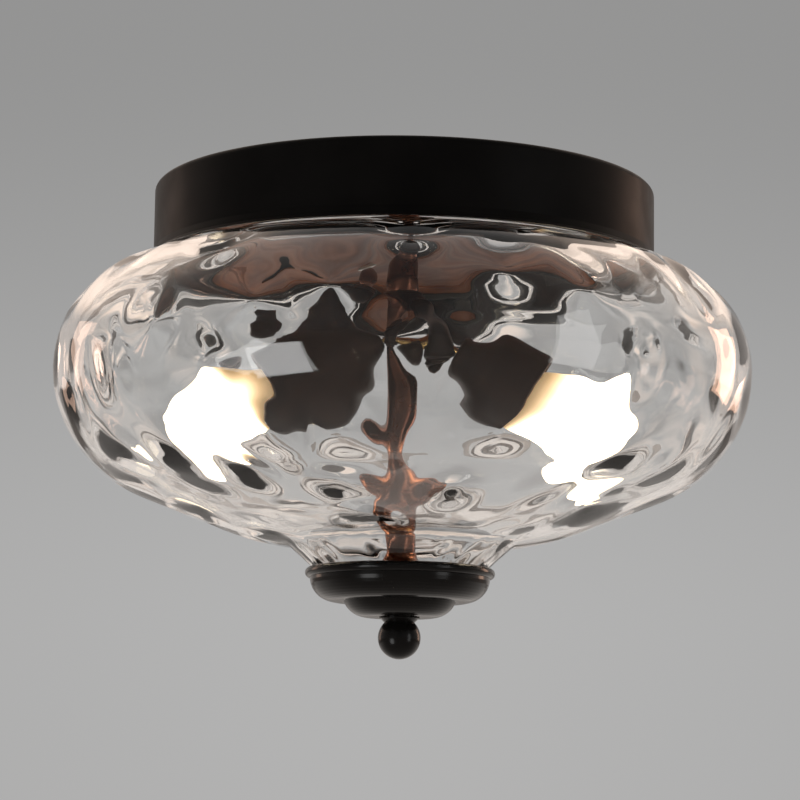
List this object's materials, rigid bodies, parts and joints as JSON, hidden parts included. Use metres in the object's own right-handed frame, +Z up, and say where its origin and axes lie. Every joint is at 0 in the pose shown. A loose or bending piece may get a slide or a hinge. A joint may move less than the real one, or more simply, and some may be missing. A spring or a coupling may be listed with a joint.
{
  "type": "ceiling light",
  "caption": "Flush ceiling light with a black canopy, a wide hammered clear glass bowl on a centre rod, a stepped cup with a ball finial and drooping frosted lamps inside.",
  "frame": {"origin": "centre of the canopy on the ceiling plane", "axes": "+Z up into the ceiling; +X and -X point to the two lamps; the mounting bar lies along X"},
  "size_m": [0.299, 0.299, 0.2017],
  "materials": {
    "satin_black": "satin black paint",
    "dark_bronze": "dark bronze lacquer, satin",
    "copper_bronze": "oil-rubbed bronze, satin with copper edges",
    "zinc_steel": "zinc plated",
    "brass": "plain brass",
    "nickel": "nickel plated, bright",
    "porcelain": "glazed white",
    "black_rubber": "matt",
    "earth_insulation": "yellow-green",
    "black_insulation": "semi-matt black",
    "white_insulation": "semi-matt white",
    "clear_glass": "hammered clear glass, glossy",
    "frosted_glass": "frosted, lit warm white"
  },
  "bodies": {
    "fixture": {"canopy_pan": "satin_black", "canopy_plate": "satin_black", "mounting_bar": "zinc_steel", "hang_screws": "zinc_steel", "terminal_block": "porcelain", "terminal_inserts": "brass", "terminal_screws": "zinc_steel", "earth_screw": "brass", "earth_wire": "earth_insulation", "live_wires": "black_insulation", "neutral_wires": "white_insulation", "tray_spacer": "zinc_steel", "tray": "dark_bronze", "lock_washer": "zinc_steel", "hex_nuts": "zinc_steel", "upper_nipple": "brass", "hub_body": "dark_bronze", "hub_cap": "dark_bronze", "side_nipples": "brass", "upper_sleeve": "copper_bronze", "rod": "brass", "rod_sleeve": "copper_bronze", "foot_nut": "copper_bronze", "holder_cap_left": "dark_bronze", "holder_cover_left": "dark_bronze", "socket_insert_left": "porcelain", "socket_shell_left": "brass", "socket_contact_left": "brass", "holder_cap_right": "dark_bronze", "holder_cover_right": "dark_bronze", "socket_insert_right": "porcelain", "socket_shell_right": "brass", "socket_contact_right": "brass"},
    "shade": {"glass_bowl": "clear_glass", "rim_gasket": "black_rubber", "tail_gasket": "black_rubber", "bottom_cup": "satin_black"},
    "washer": {"finial_washer": "satin_black"},
    "finial": {"finial": "satin_black"},
    "tip_left": {"bulb_tip_left": "black_insulation"},
    "bulb_left": {"bulb_globe_left": "frosted_glass", "bulb_base_left": "nickel"},
    "tip_right": {"bulb_tip_right": "black_insulation"},
    "bulb_right": {"bulb_globe_right": "frosted_glass", "bulb_base_right": "nickel"}
  },
  "joints": [
    {"name": "shade_lower", "type": "slide", "parent": "fixture", "child": "shade", "axis": [0, 0, -1], "range_m": [0, 0.175]},
    {"name": "finial_travel", "type": "slide", "parent": "shade", "child": "washer", "axis": [0, 0, -1], "range_m": [0, 0.01]},
    {"name": "finial_turn", "type": "hinge", "parent": "washer", "child": "finial", "pos_m": [0, 0, -0.19], "axis": [0, 0, -1], "range_deg": [0, 3600]},
    {"name": "bulb_left_travel", "type": "slide", "parent": "fixture", "child": "tip_left", "axis": [-0.866, 0, -0.5], "range_m": [0, 0.0145]},
    {"name": "bulb_right_travel", "type": "slide", "parent": "fixture", "child": "tip_right", "axis": [0.866, 0, -0.5], "range_m": [0, 0.0145]},
    {"name": "bulb_left_turn", "type": "hinge", "parent": "tip_left", "child": "bulb_left", "pos_m": [-0.0433, 0, -0.0825], "axis": [-0.866, 0, -0.5], "range_deg": [0, 1440]},
    {"name": "bulb_right_turn", "type": "hinge", "parent": "tip_right", "child": "bulb_right", "pos_m": [0.0433, 0, -0.0825], "axis": [0.866, 0, -0.5], "range_deg": [0, 1440]}
  ],
  "couplings": [
    {"joint": "finial_turn", "follows": "finial_travel", "rad_per_m": 6283.2},
    {"joint": "bulb_left_turn", "follows": "bulb_left_travel", "rad_per_m": 1730.9},
    {"joint": "bulb_right_turn", "follows": "bulb_right_travel", "rad_per_m": 1730.9}
  ]
}
